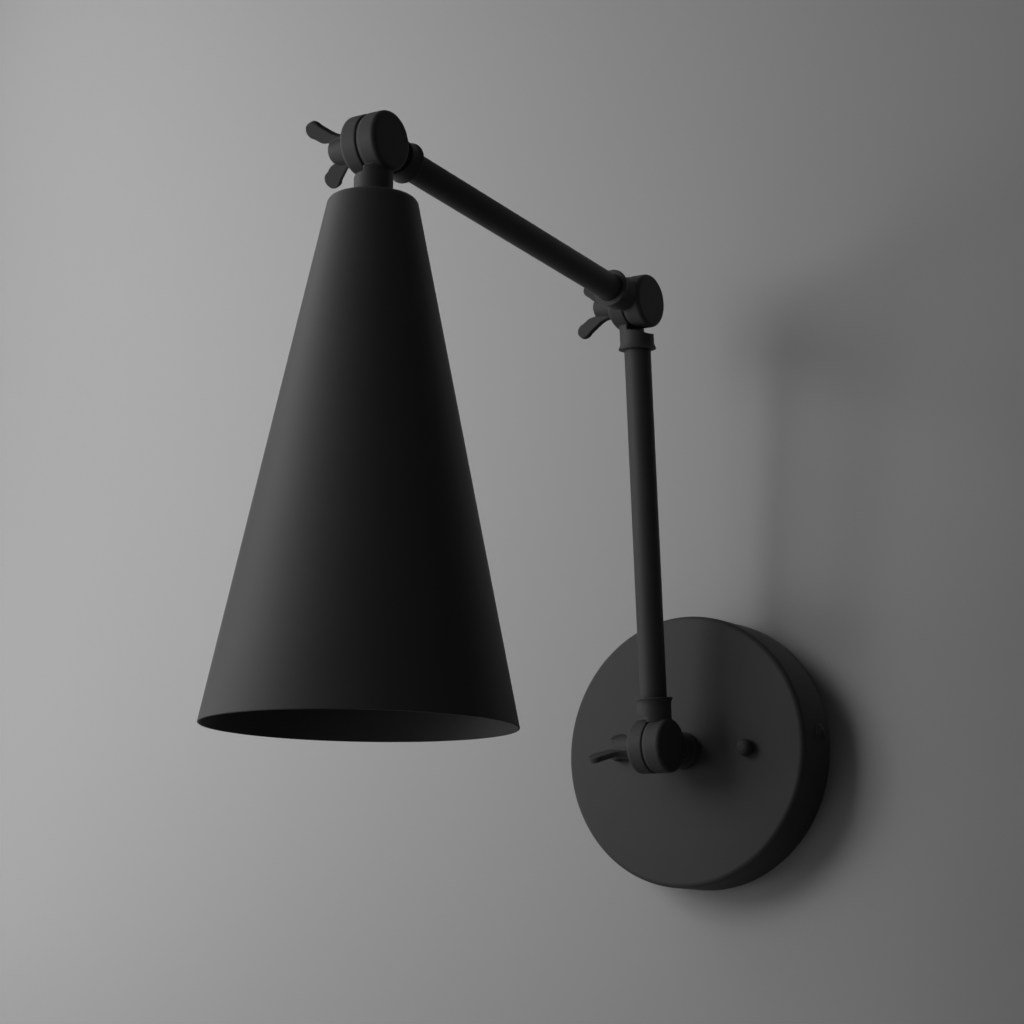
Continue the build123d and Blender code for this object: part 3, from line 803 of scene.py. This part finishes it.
@dataclass
class Workshop:
    """The finishes and the Geometry Nodes trees that all sub-assemblies share."""

    finishes: dict[Slot, bpy.types.Material] = field(default_factory=lambda: FinishBook().make())
    lathe: Lathe = field(default_factory=Lathe)
    row: Row = field(default_factory=Row)
    thread: Thread = field(default_factory=Thread)
    voxel: float = 0.3 * MM
    tube_facets: int = 96
    cup_facets: int = 192

    def turned(
        self, node: str, corners: Sequence[Corner], place: Matrix, slot: Slot, facets: int
    ) -> bpy.types.Object:
        """Turn an outline and show it instead of a node.

        Args:
            node: The node that it stands for.
            corners: The closed outline's (radius, height, rounding) corners.
            place: The axis and start of the piece.
            slot: The slot of its finish.
            facets: How many flats go round it.

        Returns:
            The piece's object.
        """
        mesh = self.lathe.turn(node, rounded(corners), self.finishes[slot], facets)
        return self.placed(mesh, node, place)

    def screw(
        self, name: str, slot: Slot, length: float, outside: ThreadWall, bore: ThreadWall | None = None
    ) -> bpy.types.Mesh:
        """Return a threaded rod along local Z, or a threaded tube where it has a bore.

        Args:
            name: The mesh's name.
            slot: The slot of its finish.
            length: How long it is.
            outside: Its outer wall.
            bore: Its inner wall, for a tube.
        """
        walls = [wall for wall in (outside, bore) if wall]
        return sealed(name, [self.thread.wind(name, wall, length, self.finishes[slot]) for wall in walls])

    def placed(self, mesh: bpy.types.Mesh, node: str, place: Matrix) -> bpy.types.Object:
        """Put a mesh built along local Z in its place and show it instead of a node.

        Args:
            mesh: The closed mesh.
            node: The node that it stands for.
            place: The axis and start of the piece.

        Returns:
            The piece's object.
        """
        mesh.transform(place)
        outward(mesh)
        return stand_in(mesh, node)

    def cast(self, node: str, slot: Slot, melt: int = 4) -> bpy.types.Object:
        """Show a soft-edged casting instead of a node whose edges are sharp.

        Args:
            node: The node that gives the shape.
            slot: The slot of its finish.
            melt: How many times the skin is evened out.

        Returns:
            The piece's object.
        """
        mesh = frame["nodes"][node].data.copy()
        outward(mesh)
        blank = bpy.data.objects.new(node, mesh)
        bpy.context.scene.collection.objects.link(blank)
        remesh = blank.modifiers.new("skin", "REMESH")
        remesh.mode = "VOXEL"
        remesh.voxel_size = self.voxel
        even = blank.modifiers.new("melt", "SMOOTH")
        even.iterations = melt
        skin = plain_mesh(blank)
        bpy.data.objects.remove(blank)
        skin.materials.clear()
        skin.materials.append(self.finishes[slot])
        return stand_in(skin, node)

    def dress(self, *nodes: str) -> None:
        """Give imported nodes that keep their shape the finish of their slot."""
        for node in nodes:
            material_slot = frame["nodes"][node].material_slots[0]
            material_slot.material = self.finishes[Slot(material_slot.material.name.split(".")[0])]
            log.info("%s keeps its shape", node)


# ---- Sub-assemblies ----
@dataclass
class WallSide:
    """The canopy on its crossbar, with the studs, nuts and plug that belong to it."""

    radius: float = 65.0 * MM
    depth: float = 26.2 * MM
    sheet: float = 1.2 * MM
    corner: float = 2.6 * MM
    edge: float = 0.4 * MM
    hole: float = 5.3 * MM
    stud: ThreadWall = ThreadWall(1.99 * MM, 0.32 * MM, 0.79 * MM)
    stud_start: float = 0.3 * MM
    stud_end: float = 30.2 * MM
    stud_spacing: float = 69.85 * MM
    nipple: ThreadWall = ThreadWall(5.12 * MM, 0.45 * MM, 0.94 * MM)
    nipple_bore: ThreadWall = ThreadWall(3.6 * MM, 0.0, 0.94 * MM)
    nipple_start: float = 34.0 * MM
    nipple_length: float = 15.4 * MM

    def outline(self) -> list[Corner]:
        """Return the canopy cup's outline, its height being the distance out of the wall."""
        inner = self.radius - self.sheet
        floor = self.depth - self.sheet
        return [
            (self.hole, floor, 0.0),
            (inner, floor, self.corner - self.sheet),
            (inner, 0.0, self.edge),
            (self.radius, 0.0, self.edge),
            (self.radius, self.depth, self.corner),
            (self.hole, self.depth, 0.0),
        ]

    def build(self, shop: Workshop) -> None:
        """Make the canopy with its threads and dress what it hangs on."""
        out = Vector((0.0, -1.0, 0.0))
        shop.turned("canopy", self.outline(), aim(Vector(), out), Slot.CANOPY, shop.cup_facets)
        stud = shop.screw("canopy_studs", Slot.ZINC, self.stud_end - self.stud_start, self.stud)
        studs = shop.row.repeat(stud, 2, self.stud_spacing)
        shop.placed(studs, "canopy_studs", aim(out * self.stud_start, out))
        nipple = shop.screw("wall_nipple", Slot.ZINC, self.nipple_length, self.nipple, self.nipple_bore)
        shop.placed(nipple, "wall_nipple", aim(out * self.nipple_start, -out))
        shop.dress("canopy_knobs", "side_plug", "crossbar", "stud_locknuts", "ground_screw")
        shop.dress("wall_check_ring", "wall_lock_washer", "wall_locknut")


@dataclass
class Swivel:
    """One friction swivel: two cast halves, washers, stud and wing nut."""

    name: str
    halves: tuple[str, str]
    stud: ThreadWall = ThreadWall(2.99 * MM, 0.4 * MM, 1.0 * MM)
    stud_start: float = 5.8 * MM
    stud_length: float = 27.6 * MM
    nut_melt: int = 6

    def build(self, shop: Workshop) -> None:
        """Make the castings and the stud, and dress the hardware between and beside them."""
        for half in self.halves:
            shop.cast(half, Slot.ARM)
        shop.cast(f"{self.name}_joint_wing_nut", Slot.NUT, self.nut_melt)
        stud = f"{self.name}_joint_stud"
        start = joint_place(f"{self.name}_joint") + Vector((self.stud_start, 0.0, 0.0))
        rod = shop.screw(stud, Slot.STEEL, self.stud_length, self.stud)
        shop.placed(rod, stud, aim(start, Vector((-1.0, 0.0, 0.0))))
        hardware = ("friction_washer", "flat_washer", "spring_washer")
        shop.dress(*(f"{self.name}_joint_{piece}" for piece in hardware))


@dataclass
class Arm:
    """One straight arm: a half-inch tube that screws into the bosses at its ends."""

    name: str
    foot: Vector
    head: Vector
    radius: float = 6.35 * MM
    bore: float = 4.4 * MM
    socket: float = 20.6 * MM
    edge: float = 0.3 * MM

    def outline(self) -> list[Corner]:
        """Return the tube's wall, its height being the distance from the foot's pivot."""
        top = (self.head - self.foot).length - self.socket
        return [
            (self.bore, self.socket, self.edge),
            (self.radius, self.socket, self.edge),
            (self.radius, top, self.edge),
            (self.bore, top, self.edge),
        ]

    def build(self, shop: Workshop) -> None:
        """Make the tube and dress its nipples."""
        place = aim(self.foot, self.head - self.foot)
        shop.turned(f"{self.name}_tube", self.outline(), place, Slot.ARM, shop.tube_facets)
        shop.dress(f"{self.name}_nipples")


@dataclass
class ShadeHead:
    """The conical shade and the lampholder inside it, measured down from the shade's pivot."""

    pivot: Vector
    top: float = 23.6 * MM
    mouth: float = 241.7 * MM
    top_radius: float = 18.35 * MM
    mouth_radius: float = 63.85 * MM
    sheet: float = 0.9 * MM
    corner: float = 3.6 * MM
    edge: float = 0.3 * MM
    hole: float = 5.3 * MM
    shell: ThreadWall = ThreadWall(13.63 * MM, 0.85 * MM, 3.63 * MM)
    shell_inside: ThreadWall = ThreadWall(13.25 * MM, 0.85 * MM, 3.63 * MM)
    shell_top: float = 56.0 * MM
    shell_end: float = 82.0 * MM
    flange: float = 10.0 * MM
    flange_sheet: float = 0.5 * MM

    def outline(self) -> list[Corner]:
        """Return the shade's wall, its height being the distance below the pivot."""
        slope = (self.mouth_radius - self.top_radius) / (self.mouth - self.top)
        inset = self.sheet * math.hypot(1.0, slope)
        under = self.top + self.sheet
        return [
            (self.hole, self.top, 0.0),
            (self.top_radius, self.top, self.corner),
            (self.mouth_radius, self.mouth, self.edge),
            (self.mouth_radius - inset, self.mouth, self.edge),
            (self.top_radius + slope * self.sheet - inset, under, self.corner - self.sheet),
            (self.hole, under, 0.0),
        ]

    def build(self, shop: Workshop) -> None:
        """Make the shade and the screw shell, and dress the rest of the lampholder."""
        down = Vector((0.0, 0.0, -1.0))
        shop.turned("shade", self.outline(), aim(self.pivot, down), Slot.SHADE, shop.cup_facets)
        shell = self.screw_shell(shop)
        shop.placed(shell, "screw_shell", aim(self.pivot + down * self.shell_top, down))
        shop.dress("shade_check_ring", "shade_nipple", "shade_lock_washer", "shade_locknut")
        shop.dress("lampholder_cap", "cap_set_screw", "lampholder_body")
        shop.dress("centre_contact", "terminal_screws")

    def screw_shell(self, shop: Workshop) -> bpy.types.Mesh:
        """Return the rolled screw shell with the flat flange that it is riveted by."""
        length = self.shell_end - self.shell_top
        shell = shop.screw("screw_shell", Slot.ALUMINIUM, length, self.shell, self.shell_inside)
        rim = self.shell.crest - self.shell.depth
        flange = [
            (self.flange, 0.0),
            (rim, 0.0),
            (rim, self.flange_sheet),
            (self.flange, self.flange_sheet),
        ]
        ring = shop.lathe.turn("flange", flange, shop.finishes[Slot.ALUMINIUM], Thread.FACETS)
        return joined("screw_shell", [shell, ring])


# ---- Studio ----
@dataclass
class Backdrop:
    """A plain sheet of the studio, seen from its front only, so that it hides nothing from behind.

    Its glow shows to the eye and in reflections alone, and puts no light on the lamp.
    """

    name: str
    centre: Vector
    facing: Vector
    width: float
    colour: Colour
    glow: float = 0.0
    mottle: float = 0.12
    darkest: float = 0.97
    roughness: float = 0.9
    specular: float = 0.1

    def paint(self) -> bpy.types.Material:
        """Return the sheet's matte paint, clear from behind and to shadow rays."""
        surface = Surface(f"{self.name}_paint")
        darker = tuple(self.darkest * channel for channel in self.colour)
        surface.set(
            Base_Color=surface.mix(surface.speckle(self.mottle, 4.0), darker, self.colour),
            Roughness=self.roughness,
            Specular_IOR_Level=self.specular,
        )
        if self.glow:
            seen = surface.rays(Ray.CAMERA, Ray.GLOSSY, Ray.TRANSMISSION)
            shown = surface.mix(seen, (0.0, 0.0, 0.0), (self.glow, self.glow, self.glow))
            surface.set(Emission_Color=shown, Emission_Strength=1.0)
        behind = Value(surface, surface.add("ShaderNodeNewGeometry").outputs["Backfacing"])
        shadow = surface.rays(Ray.SHADOW)
        clear = surface.add("ShaderNodeBsdfTransparent")
        mixed = surface.add(
            "ShaderNodeMixShader",
            inputs={0: (behind + shadow).clamped(), 1: surface.shader.outputs[0], 2: clear.outputs[0]},
        )
        output = next(n for n in surface.tree.nodes if n.type == "OUTPUT_MATERIAL")
        surface.feed(output.inputs["Surface"], mixed.outputs[0])
        return surface.material

    def build(self) -> None:
        """Make the sheet."""
        half = self.width / 2
        corners = [(-half, -half, 0.0), (half, -half, 0.0), (half, half, 0.0), (-half, half, 0.0)]
        mesh = bpy.data.meshes.new(self.name)
        mesh.from_pydata(corners, [], [(0, 1, 2, 3)])
        mesh.transform(self.facing.to_track_quat("Z", "Y").to_matrix().to_4x4())
        mesh.transform(Matrix.Translation(self.centre))
        mesh.materials.append(self.paint())
        sheet = bpy.data.objects.new(self.name, mesh)
        bpy.context.scene.collection.objects.link(sheet)


@dataclass
class Softbox:
    """A soft rectangular lamp of the studio."""

    name: str
    place: Vector
    target: Vector
    width: float
    height: float
    power: float

    def build(self) -> None:
        """Hang the lamp and turn it to its target."""
        light = bpy.data.lights.new(self.name, "AREA")
        light.shape = "RECTANGLE"
        light.size = self.width
        light.size_y = self.height
        light.energy = self.power
        lamp = bpy.data.objects.new(self.name, light)
        lamp.location = self.place
        lamp.rotation_mode = "QUATERNION"
        lamp.rotation_quaternion = (self.target - self.place).to_track_quat("-Z", "Y")
        lamp.visible_camera = False
        bpy.context.scene.collection.objects.link(lamp)


@dataclass
class Studio:
    """The wall, floor, lamps and camera round the lamp."""

    eye: Vector = field(default_factory=lambda: Vector((613.68, -1062.28, -113.11)) * MM)
    yaw: float = 34.612
    pitch: float = 10.745
    roll: float = 0.892
    focal_pixels: float = 2514.336
    frame_pixels: float = 1024.0
    film: float = 36.0
    wall_paint: Colour = (0.28, 0.28, 0.28)
    floor_paint: Colour = (0.62, 0.62, 0.62)
    sky: float = 0.03
    background: float = 0.38
    floor_glow: float = 0.22
    window: float = 0.35
    wall_width: float = 5.0
    floor_width: float = 8.0
    wall_centre: Vector = field(default_factory=lambda: Vector((0.0, 0.5, 300.0)) * MM)
    floor_centre: Vector = field(default_factory=lambda: Vector((0.0, 0.0, -900.0)) * MM)
    nearest: float = 0.01

    def camera(self) -> None:
        """Set up the camera at the photograph's viewing angle."""
        data = bpy.data.cameras.new("viewpoint")
        data.sensor_width = self.film
        data.lens = self.film * self.focal_pixels / self.frame_pixels
        data.clip_start = self.nearest
        camera = bpy.data.objects.new("viewpoint", data)
        yaw, pitch, roll = (math.radians(angle) for angle in (self.yaw, self.pitch, self.roll))
        flat = math.cos(pitch)
        ahead = Vector((-math.sin(yaw) * flat, math.cos(yaw) * flat, math.sin(pitch)))
        level = Vector((math.cos(yaw), math.sin(yaw), 0.0))
        right = Matrix.Rotation(roll, 3, -ahead) @ level
        axes = Matrix((right, right.cross(ahead), -ahead)).transposed()
        camera.matrix_world = Matrix.Translation(self.eye) @ axes.to_4x4()
        bpy.context.scene.collection.objects.link(camera)
        bpy.context.scene.camera = camera

    def world(self) -> None:
        """Fill the room with a faint even light, and show the eye a pale background."""
        world = bpy.data.worlds.new("room")
        world.use_nodes = True
        bpy.context.scene.world = world
        graph = Graph(world.node_tree)
        seen = graph.rays(Ray.CAMERA, Ray.GLOSSY, Ray.TRANSMISSION)
        strength = seen * (self.background - self.sky) + self.sky
        background = next(n for n in graph.tree.nodes if n.type == "BACKGROUND")
        graph.feed(background.inputs["Color"], (1.0, 1.0, 1.0, 1.0))
        graph.feed(background.inputs["Strength"], strength)

    def lamps(self) -> None:
        """Hang the broad window light at the near left, and weak fills in front, below and behind."""
        heart = Vector((-0.08, -0.05, 0.10))
        mouth = Vector((0.0, -0.28, 0.0))
        side = self.window
        softboxes = (
            Softbox("window_low", Vector((-0.62, -0.34, -0.07)), heart, side, side, 1.4),
            Softbox("window_high", Vector((-0.52, -0.30, 0.52)), heart, side, side, 1.1),
            Softbox("key", Vector((-0.42, -0.57, 0.24)), heart, side, side, 2.7),
            Softbox("front", Vector((-0.30, -1.00, 0.15)), heart, 0.6, 0.8, 1.5),
            Softbox("floor_bounce", Vector((-0.5, -0.6, -0.6)), mouth, 0.5, 0.5, 0.7),
            Softbox("back", Vector((0.0, 1.8, 0.9)), heart, 1.2, 1.2, 2.0),
        )
        for softbox in softboxes:
            softbox.build()

    def build(self) -> None:
        """Set up the whole studio."""
        out, up = Vector((0.0, -1.0, 0.0)), Vector((0.0, 0.0, 1.0))
        Backdrop("wall", self.wall_centre, out, self.wall_width, self.wall_paint).build()
        Backdrop("floor", self.floor_centre, up, self.floor_width, self.floor_paint, self.floor_glow).build()
        self.lamps()
        self.world()
        self.camera()
        bpy.context.scene.view_settings.view_transform = "Standard"
        log.info("studio: wall, floor, lamps and camera")


def main() -> None:
    """Build every sub-assembly in order, then the studio."""
    logging.basicConfig(level=logging.INFO, format="%(name)s: %(message)s")
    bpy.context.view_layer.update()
    shop = Workshop()
    wall, elbow, shade = (joint_place(f"{name}_joint") for name in ("wall", "elbow", "shade"))
    parts = [
        WallSide(),
        Swivel("wall", ("wall_swivel_half", "lower_arm_foot_half")),
        Arm("lower_arm", wall, elbow),
        Swivel("elbow", ("lower_arm_head_half", "upper_arm_foot_half")),
        Arm("upper_arm", elbow, shade),
        Swivel("shade", ("upper_arm_head_half", "shade_swivel_half")),
        ShadeHead(shade),
    ]
    for part in parts:
        part.build(shop)
        log.info("%s is done", type(part).__name__)
    Studio().build()


if __name__ == "__main__":
    main()
